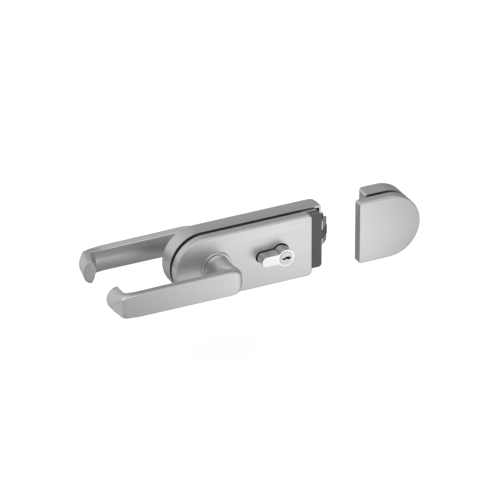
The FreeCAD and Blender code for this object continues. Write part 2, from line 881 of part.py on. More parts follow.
# Front half
def build_front_half():
    cover = shell(round_x, lever_to_edge, cover_corner, front_face, front_back - rim_setback, 0)
    cuts = [
        rod_y(0, 0, collar_spigot + thread_gap, front_face - 1, front_inner + 1),
        euro_profile(cutout_gap, front_face - 1, front_inner + 1),
    ]
    for x in grub_places:
        cuts.append(rod_z(x, front_lug_y(), front_grub_radius + fit_gap, -half - 1,
                          -half + shell_wall + 1))
    parts["front_cover"] = cover.cut(group(cuts))

    base_front = front_plate_y
    base_back = front_back - gasket
    base = inset_d(round_x, lever_to_edge, cover_corner, base_front, base_back)
    lugs = []
    for x in grub_places:
        lugs.append(lug(x, base_front - front_lug_depth, base_front))
    base = fuse([base] + lugs)
    cuts = [
        rod_y(0, 0, bush_radius() + 1, base_front - 1, base_back + 1),
        euro_profile(cutout_gap, base_front - 1, base_back + 1),
    ]
    for x, z in clamp_places:
        cuts.append(rod_y(x, z, clamp_radius + run_gap, base_front - 1, base_back + 1))
    for x in grub_places:
        cuts.append(rod_z(x, front_lug_y(), front_grub_radius + thread_gap, -half, lug_top + 1))
    parts["front_base_plate"] = base.cut(group(cuts))

    seal = inset_d(round_x, lever_to_edge, cover_corner, base_back, front_back)
    cuts = [
        rod_y(0, 0, bush_radius() + 1, base_back - 1, 0),
        euro_profile(1, base_back - 1, 0),
    ]
    screws = []
    for x, z in clamp_places:
        cuts.append(rod_y(x, z, clamp_radius + run_gap, base_back - 1, 0))
        shank = rod_y(x, z, clamp_radius, base_front, works_high - 0.6)
        head = rod_y(x, z, clamp_head_radius, base_front - clamp_head, base_front)
        screw = fuse([shank, head])
        socket = hex_y(x, z, 1.6, base_front - clamp_head - 1, base_front - clamp_head + 1.8)
        screws.append(screw.cut(socket))
    parts["front_gasket"] = seal.cut(group(cuts))
    parts["clamp_screws"] = group(screws)

    grubs = []
    for x in grub_places:
        high = lug_top + grub_sunk - front_grub_short
        screw = rod_z(x, front_lug_y(), front_grub_radius, -half + grub_sunk, high)
        socket = hex_z(x, front_lug_y(), 0.85, -half, -half + 2)
        grubs.append(screw.cut(socket))
    parts["front_cover_screws"] = group(grubs)


# Collars and levers
def collar(face_y, out):
    """The ring round a lever's neck, with a spigot in the cover's wall."""
    flange = rod_y(0, 0, collar_radius, 0, collar_height)
    rim = [e for e in flange.Edges if abs(e.BoundBox.YMin - collar_height) < 1e-6]
    flange = flange.makeFillet(collar_height * 0.7, rim)
    spigot = rod_y(0, 0, collar_spigot, -shell_wall, 0)
    ring = fuse([flange, spigot])
    ring = ring.cut(rod_y(0, 0, boss_radius + collar_bore_gap, -shell_wall - 1, collar_height + 1))
    return placed(ring, face_y, out)


def placed(shape, face_y, out):
    """Take a shape whose Y is the distance out from a cover's face to its place."""
    copy = shape.copy()
    if out < 0:
        copy = copy.mirror(Vector(0, 0, 0), Y_AXIS)
    copy.translate(Vector(0, face_y, 0))
    return copy


def grip_section(x, tall, inner):
    """D section of the grip: flat outer face, straight edges, bulged inner side."""
    out = lever_reach
    edge = lever_reach - grip_edge
    deep = lever_reach - grip_thick
    points = [
        Vector(x, out, tall),
        Vector(x, edge, inner),
        Vector(x, deep, 0),
        Vector(x, edge, -inner),
        Vector(x, out, -tall),
    ]
    return Part.Wire([
        Part.LineSegment(points[0], points[1]).toShape(),
        Part.Arc(points[1], points[2], points[3]).toShape(),
        Part.LineSegment(points[3], points[4]).toShape(),
        Part.LineSegment(points[4], points[0]).toShape(),
    ])


def leaf_section(x, y, outer, tall):
    """Section of the returned end: half round outside, shallow inside."""
    top = Vector(x, y, tall)
    left = Vector(x - outer, y, 0)
    low = Vector(x, y, -tall)
    right = Vector(x + hook_bulge, y, 0)
    return Part.Wire([
        Part.Arc(top, left, low).toShape(),
        Part.Arc(low, right, top).toShape(),
    ])


def lever_shape(root, tip, facet):
    """A grip with its neck and returned end; Y is the distance out from the cover.

    root and tip give the returned end's X and radius, facet the outer corner's plane.
    """
    root_x, root_radius = root
    tip_x, tip_radius = tip
    facet_x, facet_run, facet_fall = facet
    neck_side = neck_radius
    grip = Part.makeLoft(
        [
            grip_section(-root_x, grip_half_free, grip_inner_half),
            grip_section(neck_side, grip_half_neck, grip_inner_half + 0.5),
        ],
        True, True,
    )
    out = lever_reach
    turn = math.sqrt(0.5) * grip_corner
    near = neck_side - grip_corner
    low = -half
    edges = [
        Part.Arc(Vector(near, out, low), Vector(near + turn, out - grip_corner + turn, low),
                 Vector(neck_side, out - grip_corner, low)).toShape(),
        Part.LineSegment(Vector(neck_side, out - grip_corner, low),
                         Vector(neck_side + 1, out - grip_corner, low)).toShape(),
        Part.LineSegment(Vector(neck_side + 1, out - grip_corner, low),
                         Vector(neck_side + 1, out + 1, low)).toShape(),
        Part.LineSegment(Vector(neck_side + 1, out + 1, low),
                         Vector(near, out + 1, low)).toShape(),
        Part.LineSegment(Vector(near, out + 1, low), Vector(near, out, low)).toShape(),
    ]
    corner_cut = Part.Face(Part.Wire(edges)).extrude(Vector(0, 0, lock_height))
    neck = rod_y(0, 0, neck_radius, collar_height + side_gap, out)
    flare = Part.makeCone(neck_flare, neck_radius, flare_length,
                          Vector(0, collar_height + side_gap, 0), Y_AXIS)
    inner_y = out - grip_thick + 1.0
    r = crook_radius
    bend = math.sqrt(0.5) * r
    x0 = -neck_radius
    edges = [
        Part.Arc(Vector(x0 - r, inner_y, 0), Vector(x0 - r + bend, inner_y - r + bend, 0),
                 Vector(x0, inner_y - r, 0)).toShape(),
        Part.LineSegment(Vector(x0, inner_y - r, 0), Vector(0, inner_y - r, 0)).toShape(),
        Part.LineSegment(Vector(0, inner_y - r, 0), Vector(0, inner_y + 3, 0)).toShape(),
        Part.LineSegment(Vector(0, inner_y + 3, 0), Vector(x0 - r, inner_y + 3, 0)).toShape(),
        Part.LineSegment(Vector(x0 - r, inner_y + 3, 0), Vector(x0 - r, inner_y, 0)).toShape(),
    ]
    wedge = Part.Face(Part.Wire(edges)).extrude(Vector(0, 0, 2 * wedge_half))
    wedge.translate(Vector(0, 0, -wedge_half))
    hook = Part.makeLoft(
        [
            leaf_section(-root_x, out, root_radius, hook_half_root),
            leaf_section(-tip_x, hook_tip, tip_radius, hook_half_tip),
        ],
        True, True,
    )
    outer_corner = prism_z(
        [
            (-facet_x, out),
            (-facet_x - facet_run * 2, out - facet_fall * 2),
            (-facet_x - facet_run * 2, out + 10),
            (-facet_x, out + 10),
        ],
        -half, half,
    )
    body = fuse([grip, neck, flare, wedge, hook])
    return body.cut(group([outer_corner, corner_cut]))


def finish_lever(body, face_y, out, name):
    """Add the boss, the square socket and the set screw, then put the lever in place."""
    boss = rod_y(0, 0, boss_radius, -boss_inside, collar_height + side_gap + 1)
    body = fuse([body, boss])
    opening = square / 2 + square_gap
    socket = box(-opening, opening, -boss_inside - 1, socket_depth - boss_inside,
                 -opening, opening)
    screw_y = set_screw_out
    hole = rod_z(0, screw_y, set_screw_radius + thread_gap, -neck_radius - 2, -opening + 1)
    body = body.cut(group([socket, hole]))
    screw_low = -neck_radius + set_screw_sunk
    screw = rod_z(0, screw_y, set_screw_radius, screw_low, -square / 2 - fit_gap)
    screw = screw.cut(hex_z(0, screw_y, 1.4, -neck_radius, -neck_radius + 3.2))
    parts[name + "_lever"] = placed(body, face_y, out)
    parts[name + "_set_screw"] = placed(screw, face_y, out)
    parts[name + "_collar"] = collar(face_y, out)


def build_levers():
    front = lever_shape(
        (front_hook_x, front_hook_radius),
        (front_hook_x, front_hook_radius),
        (front_facet_x, front_facet_run, front_facet_fall),
    )
    finish_lever(front, front_face, -1, "front")
    rear = lever_shape(
        (rear_root_x, rear_root_radius),
        (rear_tip_x, rear_tip_radius),
        (rear_facet_x, rear_facet_run, rear_facet_fall),
    )
    finish_lever(rear, rear_face, 1, "rear")


# Strike box
def build_strike():
    case = shell(strike_round, strike_case, strike_corner, rear_face, rim_setback,
                 rear_end_radius / 2)
    pocket_low = bolt_low - latch_opening_gap
    pocket_high = latch_height / 2 + latch_opening_gap
    y0 = works_front
    y1 = rear_inner - fit_gap
    x0 = strike_case
    x1 = strike_case + pocket_depth
    opening = box(x0 - 1, x0 + shell_wall + 1, y0 + pocket_wall, y1 - pocket_wall,
                  pocket_low, pocket_high)
    parts["strike_case"] = case.cut(opening)
    outer = box(x0 + shell_wall + fit_gap, x1 + pocket_wall, y0, y1,
                pocket_low - pocket_wall, pocket_high + pocket_wall)
    inner = box(x0, x1, y0 + pocket_wall, y1 - pocket_wall, pocket_low, pocket_high)
    parts["strike_pocket"] = outer.cut(inner)

    base = inset_d(strike_round, strike_case, strike_corner, gasket, works_front)
    seal = inset_d(strike_round, strike_case, strike_corner, 0, gasket)
    nuts = []
    sleeves = []
    holes = []
    seal_holes = []
    for x, z in strike_clamp_places:
        holes.append(rod_y(x, z, clamp_radius + run_gap, 0, works_front + 1))
        seal_holes.append(rod_y(x, z, sleeve_radius + fit_gap, -1, gasket + 1))
        nuts.append(ring_y(x, z, clamp_post_radius, clamp_radius + run_gap, works_front,
                           works_high))
        sleeves.append(ring_y(x, z, sleeve_radius, clamp_radius + run_gap,
                              front_back + side_gap, gasket))
    parts["strike_base_plate"] = base.cut(group(holes))
    parts["strike_gasket"] = seal.cut(group(seal_holes))
    parts["strike_nuts"] = group(nuts)
    parts["strike_sleeves"] = group(sleeves)

    cover = shell(strike_round, strike_left, strike_corner, front_face, front_back - rim_setback, 0)
    parts["strike_cover"] = cover
    base_front = front_plate_y
    base_back = front_back - gasket
    base = inset_d(strike_round, strike_left, strike_corner, base_front, base_back)
    seal = inset_d(strike_round, strike_left, strike_corner, base_back, front_back)
    holes = []
    screws = []
    for x, z in strike_clamp_places:
        holes.append(rod_y(x, z, clamp_radius + run_gap, base_front - 1, 0))
        shank = rod_y(x, z, clamp_radius, base_front, works_high - 0.6)
        head = rod_y(x, z, clamp_head_radius, base_front - clamp_head, base_front)
        socket = hex_y(x, z, 1.6, base_front - clamp_head - 1, base_front - clamp_head + 1.8)
        screws.append(fuse([shank, head]).cut(socket))
    parts["strike_front_plate"] = base.cut(group(holes))
    parts["strike_front_gasket"] = seal.cut(group(holes))
    parts["strike_clamp_screws"] = group(screws)


build_rear_half()
build_latch()
build_follower()
build_cylinder()
build_deadbolt()
build_edge()
build_front_half()
build_levers()
build_strike()

os.makedirs("parts", exist_ok=True)
for name, shape in parts.items():
    good = shape.isValid()
    print(f"{name:22s} solids {len(shape.Solids)} volume {shape.Volume:9.1f} valid {good}")
    shape.exportStep("parts/" + name + ".step")
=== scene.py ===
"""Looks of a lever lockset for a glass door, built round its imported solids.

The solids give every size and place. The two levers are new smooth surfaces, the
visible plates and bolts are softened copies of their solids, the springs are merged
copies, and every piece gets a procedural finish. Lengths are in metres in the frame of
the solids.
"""

import json
import math

import bmesh
import bpy
import numpy as np
from bpy.props import FloatProperty, FloatVectorProperty, PointerProperty
from mathutils import Matrix, Vector

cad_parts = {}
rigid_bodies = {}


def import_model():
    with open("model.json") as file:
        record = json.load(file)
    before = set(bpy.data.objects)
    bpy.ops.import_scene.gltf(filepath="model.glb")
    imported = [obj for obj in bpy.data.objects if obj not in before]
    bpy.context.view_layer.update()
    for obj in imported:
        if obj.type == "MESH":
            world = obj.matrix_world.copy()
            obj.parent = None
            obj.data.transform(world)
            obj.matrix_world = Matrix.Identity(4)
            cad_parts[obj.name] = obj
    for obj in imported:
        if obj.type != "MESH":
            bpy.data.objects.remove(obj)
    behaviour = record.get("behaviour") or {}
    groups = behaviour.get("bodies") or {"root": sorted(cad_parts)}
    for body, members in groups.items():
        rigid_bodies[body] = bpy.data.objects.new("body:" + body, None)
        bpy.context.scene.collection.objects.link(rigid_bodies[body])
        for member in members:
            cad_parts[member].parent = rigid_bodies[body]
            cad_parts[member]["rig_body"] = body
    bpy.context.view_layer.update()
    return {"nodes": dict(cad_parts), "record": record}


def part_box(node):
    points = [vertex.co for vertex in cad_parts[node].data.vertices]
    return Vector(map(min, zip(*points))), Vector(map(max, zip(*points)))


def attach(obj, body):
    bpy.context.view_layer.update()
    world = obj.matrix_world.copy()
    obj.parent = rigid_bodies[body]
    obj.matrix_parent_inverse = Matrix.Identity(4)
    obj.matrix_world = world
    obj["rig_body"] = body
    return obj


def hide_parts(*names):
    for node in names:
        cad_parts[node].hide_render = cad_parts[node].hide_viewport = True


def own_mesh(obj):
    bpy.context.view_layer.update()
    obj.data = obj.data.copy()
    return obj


bl_info = {
    "name": "Glass door lockset",
    "version": (1, 0, 0),
    "blender": (4, 5, 0),
    "location": "View3D > Sidebar > Lockset",
    "description": "Builds the visible pieces of a glass door lever lockset",
    "category": "Object",
}

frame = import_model()
NODES = frame["nodes"]
SLOT_OF = {row["node"]: row["material_slot"] for row in frame["record"]["subparts"]}
BODY_OF = {node: NODES[node]["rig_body"] for node in NODES}

COVER_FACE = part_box("front_cover")[0].y
CASE_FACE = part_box("rear_case")[1].y
LOCK_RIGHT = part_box("front_cover")[1].x

# radii that the solid cases have between their back and their flat end
MADE_CASE_END = 0.0040
MADE_STRIKE_END = MADE_CASE_END / 2

# edges sharper than these angles, in degrees, stay crisp
PLATE_CREASE = 30.0
LEVER_CREASE = 38.0

# points closer than this are one
MERGE = 1e-6

# least divisor
TINY = 1e-9


def length(name, description, default):
    """A size in metres that a user may change."""
    return FloatProperty(name=name, description=description, default=default, unit="LENGTH")


def colour(name, description, default):
    """A colour that a user may change."""
    return FloatVectorProperty(
        name=name, description=description, default=default, size=3, subtype="COLOR",
        min=0.0, max=1.0,
    )


def share(name, description, default):
    """A plain number from nought upwards."""
    return FloatProperty(name=name, description=description, default=default, min=0.0)


class LeverSizes(bpy.types.PropertyGroup):
    """Sizes that both levers share."""

    reach: length("Reach", "Height of the grip's outer face over the cover", 0.0365)
    edge_depth: length("Edge depth", "Depth of the grip's inner edges below its face", 0.0085)
    thickness: length("Thickness", "Depth of the grip at its middle", 0.0112)
    end_round: length("End round", "Corner drop of the grip over the neck", 0.0050)
    face_half: length("Half height", "Half the outer face's height at the neck", 0.0123)
    inner_half: length("Inner half height", "Half the height at the inner edges", 0.0114)
    taper: share("Taper", "Share of the height lost from the neck to the free end", 0.055)
    neck: length("Neck radius", "Radius of the round neck", 0.0122)
    flare: length("Flare radius", "Radius of the neck at the collar", 0.0131)
    flare_height: length("Flare height", "Height over which the neck narrows", 0.0045)
    start: length("Start", "Height of the neck's foot over the cover", 0.0020)
    boss: length("Boss radius", "Radius of the bearing inside the collar", 0.0080)
    boss_depth: length("Boss depth", "How far the bearing reaches into the cover", 0.0026)
    socket: length("Socket", "Half the width of the square socket", 0.00405)
    socket_depth: length("Socket depth", "Height of the socket's end", 0.0214)
    outer_bend: length("Outer bend", "Corner radius over the neck", 0.0115)
    inner_bend: length("Inner bend", "Hollow radius between neck and grip", 0.0050)
    blend: length("Blend", "Height over which the round neck turns into the grip", 0.0060)
    crook: length("Crook", "Hollow radius between grip and returned end", 0.0038)
    edge_round: length("Edge round", "Radius along the grip's long edges", 0.0008)
    tip: length("Tip height", "Height of the returned end's tip over the cover", 0.0110)
    leaf_half: length("Leaf half height", "Half the returned end's height", 0.0115)
    leaf_bulge: length("Leaf bulge", "Bulge of the returned end's inner side", 0.0040)


class HookSizes(bpy.types.PropertyGroup):
    """Plan of one lever's returned end."""

    root: length("Root", "Distance of the end's middle line at the outer face", 0.1070)
    root_radius: length("Root radius", "Outward radius at the outer face", 0.0110)
    tip: length("Tip", "Distance of the end's middle line at its tip", 0.1070)
    tip_radius: length("Tip radius", "Outward radius at the tip", 0.0110)
    facet: length("Facet", "Where the outer face turns into the slanted corner", 0.1124)
    facet_run: length("Facet run", "Run of the slanted corner", 0.0051)
    facet_fall: length("Facet fall", "Fall of the slanted corner", 0.0071)
    soft: length("Softness", "Radius where the slanted corner meets the end", 0.0030)
    corner: length("Corner", "Radius of the corner at the top and bottom edges", 0.0050)
    pinch: share("Pinch", "Share of the height lost at the slanted corner", 0.13)
    tip_round: length("Tip round", "Depth of the rounding at the tip", 0.0022)
    tip_inset: share("Tip inset", "Share of the tip's width taken by its rounding", 0.17)


class FinishColours(bpy.types.PropertyGroup):
    """Colours of the metals, plastics and rubber."""

    satin: colour("Satin metal", "Covers, levers and collars", (0.735, 0.738, 0.742))
    satin_roughness: share("Satin roughness", "Roughness of the satin metal", 0.42)
    plated: colour("Plated steel", "Base plates and springs", (0.60, 0.61, 0.63))
    cast: colour("Cast zinc", "Follower and cam", (0.42, 0.43, 0.45))
    nickel: colour("Nickel", "Profile cylinder", (0.76, 0.76, 0.758))
    plug: colour("Plug", "Turning plugs of the cylinder", (0.56, 0.56, 0.558))
    bolt: colour("Bolts", "Latch bolt and deadbolt", (0.68, 0.68, 0.67))
    steel: colour("Screw steel", "Screws, spindle and nuts", (0.55, 0.55, 0.56))
    black: colour("Black screws", "Small screws of the covers", (0.03, 0.03, 0.032))
    plastic: colour("Dark plastic", "Edge block, latch nose and pocket", (0.165, 0.165, 0.168))
    rubber: colour("Rubber", "Gaskets and door buffer", (0.05, 0.05, 0.05))


class StageLook(bpy.types.PropertyGroup):
    """Floor, surroundings and camera."""

    floor_drop: length("Floor", "Depth of the floor below the lever axis", 0.100)
    azimuth: FloatProperty(
        name="Azimuth", description="Camera's turn about the vertical", default=26.12,
        soft_min=-180, soft_max=180,
    )
    elevation: FloatProperty(
        name="Elevation", description="Camera's height angle", default=28.0,
        soft_min=-90, soft_max=90,
    )
    distance: length("Distance", "Distance of the camera from the lock", 4.673)
    lens: FloatProperty(name="Lens", description="Focal length in millimetres", default=360.0)
    pool: share("Pool", "Brightness of the light pool in front", 1.29)
    pool_left: length("Pool left", "Where the pool starts, towards the grip", -0.125)
    pool_right: length("Pool right", "Where the pool is full, past the lock", 0.21)
    pool_end: length("Pool end", "Where the pool has faded, past the strike box", 0.385)
    pool_rest: share("Pool rest", "Share of the pool that is left past its end", 0.15)
    pool_back: length("Pool back", "Where the pool starts behind the cover", 0.04)
    pool_front: length("Pool front", "Where the pool is full in front", -0.28)
    floor_glow: share("Floor glow", "Brightness of the floor as metal shows it", 0.31)
    left_glow: share("Left glow", "Added brightness of the floor at the far left", 0.35)
    left_start: length("Left start", "Where the left glow starts", -0.07)
    left_full: length("Left full", "Where the left glow is full", -0.21)
    sky_low: share("Sky", "Brightness of the surroundings", 0.29)
    sky_high: share("Light above", "Brightness of the light above", 1.35)
    sky_front: share("Dim front", "Brightness of the surroundings in front", 0.10)
    horizon: share("Horizon", "Brightness of the horizon in front", 0.90)
    sky_side: share("Side light", "Brightness of the light at the back left", 0.95)


# Meshes


def grid_faces(rows, columns):
    """Quads of a grid that is closed round its columns."""
    row = np.arange(rows - 1)[:, None] * columns
    column = np.arange(columns)[None, :]
    after = (column + 1) % columns
    corners = [row + column, row + after, row + columns + after, row + columns + column]
    return np.stack(corners, -1).reshape(-1, 4)


def piece_from_loops(name, loops, start_pole, end_pole):
    """A closed surface through a stack of loops, shut at both ends by a pole."""
    rows, columns = loops.shape[:2]
    points = np.concatenate([loops.reshape(-1, 3), start_pole[None], end_pole[None]])
    column = np.arange(columns)
    after = (column + 1) % columns
    last_row = (rows - 1) * columns
    start = np.full(columns, rows * columns)
    start_fan = np.stack([start, after, column], -1)
    end_fan = np.stack([start + 1, last_row + column, last_row + after], -1)
    faces = grid_faces(rows, columns).tolist() + start_fan.tolist() + end_fan.tolist()
    return finished_mesh(name, points, faces)


def finished_mesh(name, points, faces):
    """A smooth mesh object with outward faces and crisp edges above the lever's crease."""
    mesh = bpy.data.meshes.new(name)
    mesh.from_pydata(points.tolist(), [], faces)
    form = bmesh.new()
    form.from_mesh(mesh)
    bmesh.ops.remove_doubles(form, verts=form.verts, dist=2 * MERGE)
    bmesh.ops.dissolve_degenerate(form, edges=form.edges, dist=MERGE)
    bmesh.ops.recalc_face_normals(form, faces=form.faces)
    form.to_mesh(mesh)
    form.free()
    smooth(mesh, LEVER_CREASE)
    return placed(name, mesh)


def placed(name, data):
    """An object in the scene for a mesh or a camera."""
    piece = bpy.data.objects.new(name, data)
    bpy.context.scene.collection.objects.link(piece)
    return piece


def smooth(mesh, crease):
    """Smooth shading, with edges sharper than the crease angle kept crisp."""
    mesh.polygons.foreach_set("use_smooth", np.ones(len(mesh.polygons), bool))
    mesh.set_sharp_from_angle(angle=math.radians(crease))
    mesh.update()


def softened_copy(node, name, edge):
    """A merged copy of a solid's mesh whose crisp edges are rounded a little."""
    # faces that meet at less than this angle become one
    flat_angle = math.radians(0.3)
    mesh = NODES[node].data.copy()
    mesh.name = name
    form = bmesh.new()
    form.from_mesh(mesh)
    bmesh.ops.remove_doubles(form, verts=form.verts, dist=MERGE)
    bmesh.ops.dissolve_limit(form, angle_limit=flat_angle, verts=form.verts, edges=form.edges)
    form.to_mesh(mesh)
    form.free()
    smooth(mesh, PLATE_CREASE)
    piece = placed(name, mesh)
    if edge > 0:
        bevel = piece.modifiers.new("edge", "BEVEL")
        bevel.width = edge
        bevel.segments = 2
        bevel.limit_method = "ANGLE"
        bevel.angle_limit = math.radians(PLATE_CREASE)
        bevel.harden_normals = True
        bevel.use_clamp_overlap = True
    return piece


def finish_of(node):
    """The finish that belongs to a node's slot."""
    return bpy.data.materials["finish_" + SLOT_OF[node]]


def dress(piece, node):
    """Ride with the node's body, stand for it and take its slot and finish."""
    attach(piece, BODY_OF[node])
    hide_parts(node)
    piece.data.materials.clear()
    piece.data.materials.append(finish_of(node))


def soften(nodes, edge):
    """Give each node a softened copy that stands for it."""
    for node in nodes:
        dress(softened_copy(node, node + "_skin", edge), node)


# Lever surface

# parts of the grip's half section, from the middle of its face round to its inner side:
# how many points each has, and the stretch of the round neck, in degrees, that it meets
FACE, ROUND, BAND, INNER = range(4)
POINTS = (13, 5, 9, 16)
NECK_SPANS = ((0.0, 48.0), (51.0, 60.0), (64.0, 118.0), (122.0, 180.0))
FACE_END = POINTS[FACE] - 1
ROUND_END = FACE_END + POINTS[ROUND]

# rows of points along the lever
FLARE_ROWS = 9
NECK_ROWS = 15
BEND_ROWS = 16
GRIP_ROWS = 34
CORNER_ROWS = 7
SLANT_ROWS = 4
SOFT_ROWS = 9
END_ROWS = 9

# corners of the plan lines
LEAST_RADIUS = 0.0009  # of the corner where the grip ends
LEAST_CUT = 0.0004  # fall below which a line has no slanted corner
CORNER_GAP = 0.0010  # way from that corner to the next point of a line that isn't cut
PLAIN_SOFT = 0.0003  # radius at that next point
GAP_SHARE = 0.45  # most of the slanted corner that a radius may take

# end of the grip over the neck
OVERHANG = 0.0006  # of the end past the neck
BAND_STEP = 0.0004  # step from the end's edge to the band
BAND_END = 0.0076  # way past the axis of the band's last point, without the step
INNER_END = 0.0084  # least way past the axis on the inner side
BREAK = 0.0004  # chamfer of the bearing and of the neck's foot
LIFT = 0.0003  # least height of the neck's rows over its foot


def ramp(value):
    """Smooth step from 0 to 1."""
    t = np.clip(value, 0.0, 1.0)
    return t * t * (3.0 - 2.0 * t)


def quadratic(start, control, finish, count):
    """Points of the quadratic curve from start to finish with one control point."""
    t = np.linspace(0.0, 1.0, count)[:, None, None]
    return (1 - t) ** 2 * start + 2 * t * (1 - t) * control + t ** 2 * finish


def corner_points(before, corner, after, reach_before, reach_after, count):
    """Round corners of many plan lines at once.

    Each corner is the quadratic curve that leaves the line before it at reach_before,
    has the corner as its control point and joins the line after it at reach_after.
    """
    back = before - corner
    ahead = after - corner
    back = back / np.maximum(np.linalg.norm(back, axis=-1, keepdims=True), TINY)
    ahead = ahead / np.maximum(np.linalg.norm(ahead, axis=-1, keepdims=True), TINY)
    start = corner + back * reach_before[:, None]
    finish = corner + ahead * reach_after[:, None]
    return quadratic(start, corner, finish, count)


def straight_points(start, finish, count):
    """Points between two rows of ends, without the ends."""
    t = np.linspace(0.0, 1.0, count + 2)[1:-1, None, None]
    return start + (finish - start) * t


def grip_half_section(size):
    """Upper half of the grip's section: height, depth below the face, turn and part.

    The face is straight. The round is an arc of the edge's radius. The band is a straight
    line to the inner edge. The inner side is a parabola that bulges by the thickness less
    the depth of the edge. Turn is the angle of the matching point on the round neck.
    """
    radius = size.edge_round
    shoulder = size.face_half - radius

    # the points of each part keep clear of the joints with the next
    arc = np.radians(np.linspace(12.0, 80.0, POINTS[ROUND]))
    along = np.linspace(0.06, 0.94, POINTS[BAND])
    inwards = np.linspace(0.985, 0.0, POINTS[INNER])
    bulge = size.thickness - size.edge_depth
    height = np.concatenate([
        np.linspace(0.0, shoulder, POINTS[FACE]),
        shoulder + radius * np.sin(arc),
        size.face_half + (size.inner_half - size.face_half) * along,
        size.inner_half * inwards,
    ])
    depth = np.concatenate([
        np.zeros(POINTS[FACE]),
        radius - radius * np.cos(arc),
        radius + (size.edge_depth - radius) * along,
        size.edge_depth + bulge * (1.0 - inwards ** 2),
    ])
    turn = np.concatenate([
        np.linspace(first, last, count) for (first, last), count in zip(NECK_SPANS, POINTS)
    ])
    part = np.repeat((FACE, ROUND, BAND, INNER), POINTS)
    return height, depth, np.radians(turn), part


def end_leaf(size, hook, height, part):
    """Height, X at the outer face and X at the tip for the lines of the returned end.

    The outer half is half an ellipse: the sine of a lean angle gives the height and its
    cosine the way outwards. The inner side is a parabola that bulges inwards.
    """
    # sine of the lean at the half height of the face
    edge_sine = 0.955
    on_face = np.arcsin(height[:FACE_END + 1] / size.face_half * edge_sine)
    between = POINTS[ROUND] + POINTS[BAND]
    lean = np.concatenate([
        on_face,
        np.linspace(on_face[-1], math.pi / 2, between + 2)[1:-1],
        np.full(POINTS[INNER], math.pi / 2),
    ])
    outer = part < INNER
    inner_share = height / size.inner_half
    inward = size.leaf_bulge * (1.0 - inner_share ** 2)
    leaf_z = size.leaf_half * np.where(outer, np.sin(lean), inner_share)
    root_x = -hook.root + np.where(outer, -hook.root_radius * np.cos(lean), inward)
    tip_x = -hook.tip + np.where(outer, -hook.tip_radius * np.cos(lean), inward)
    return leaf_z, root_x, tip_x


def end_corners(size, hook, height, depth, part, root_x, tip_x):
    """Plan corners of every line at the returned end.

    A line follows the grip at its own depth to the first corner, then the slanted corner,
    if it meets it, down to the next one, and a straight line from there to the tip. The
    radius of the first corner grows from the middle of the face to its edge and falls
    again along the band. Returns both corners, the tip, which lines are cut by the slanted
    corner, and the radius.
    """
    grow_start = 0.45
    grow_run = 0.5
    outer = part < INNER
    band = part == BAND
    tip_level = size.tip + hook.tip_round
    slope = (tip_x - root_x) / (size.reach - tip_level)
    fall_rate = hook.facet_run / hook.facet_fall
    meet = (-hook.facet - root_x) / (fall_rate + slope)
    cut = (meet > depth + LEAST_CUT) & outer
    corner_x = np.where(cut, -hook.facet - fall_rate * depth, root_x + slope * depth)
    grown = ramp((height / size.face_half - grow_start) / grow_run)
    radius = LEAST_RADIUS + hook.corner * grown
    radius[band] = np.maximum(LEAST_RADIUS, radius[ROUND_END] - depth[band])
    radius = np.where(outer, radius, size.crook)
    next_depth = np.where(cut, meet, depth + radius + CORNER_GAP)
    corner = np.stack([corner_x, size.reach - depth], -1)
    following = np.stack([root_x + slope * next_depth, size.reach - next_depth], -1)
    tip = np.stack([tip_x, np.full_like(tip_x, tip_level)], -1)
    return corner, following, tip, cut, radius


def neck_corner(size, height, part):
    """X of every line's corner over the neck, and the radius of its bend there.

    The grip's end is flat in the middle and falls back as a quarter ellipse towards its
    edges. Along the band it crosses over to the inner side, where it follows the neck with
    squarer shoulders.
    """
    flat_share = 0.55
    squareness = 2.6
    flat = size.face_half * flat_share
    end_x = size.neck + OVERHANG
    past = np.clip((height - flat) / (size.face_half - flat), 0.0, 1.0)
    side = end_x - size.end_round * (1.0 - np.sqrt(np.maximum(1.0 - past ** 2, 0.0)))
    side[part == ROUND] = end_x - size.end_round
    along = np.linspace(0.0, 1.0, POINTS[BAND])
    edge_x = side[ROUND_END]
    side[part == BAND] = edge_x - BAND_STEP - (edge_x + BAND_END) * along
    inner = part == INNER
    inner_share = height[inner] / size.inner_half
    around = np.maximum(1.0 - inner_share ** squareness, 0.0) ** 0.5
    side[inner] = np.minimum(-size.neck * around, -INNER_END)
    bend = np.where(part < INNER, size.outer_bend, size.inner_bend)
    bend[part == BAND] = size.outer_bend + (size.inner_bend - size.outer_bend) * along
    return side, bend


def heights_along(size, hook, height, leaf_z, end_level, plan):
    """Height of every point of the plan lines.

    The section's height tapers along the grip and turns into the leaf's on the returned
    end. Near the slanted corner a share of it is lost, as a quarter circle falls away.
    """
    leaf_start = hook.root - 0.012
    leaf_run = 0.010
    leaf_fall = 0.003
    pinch_start = hook.facet - 0.0065
    pinch_run = 0.0085
    pinch_depth = 0.004
    pinch_fall = 0.010
    way = -plan[..., 0]
    tapered = height * (1.0 - size.taper * np.clip(way / hook.root, 0.0, 1.0))
    turned = ramp((way - leaf_start) / leaf_run)
    turned = np.maximum(turned, ramp((end_level - plan[..., 1]) / leaf_fall))
    blended = tapered * (1 - turned) + leaf_z * turned
    near_corner = np.clip((way - pinch_start) / pinch_run, 0.0, 1.0)
    near_corner = 1.0 - np.sqrt(1.0 - near_corner ** 2)
    near_face = 1.0 - ramp((size.reach - plan[..., 1] - pinch_depth) / pinch_fall)
    return blended * (1.0 - hook.pinch * near_corner * near_face)


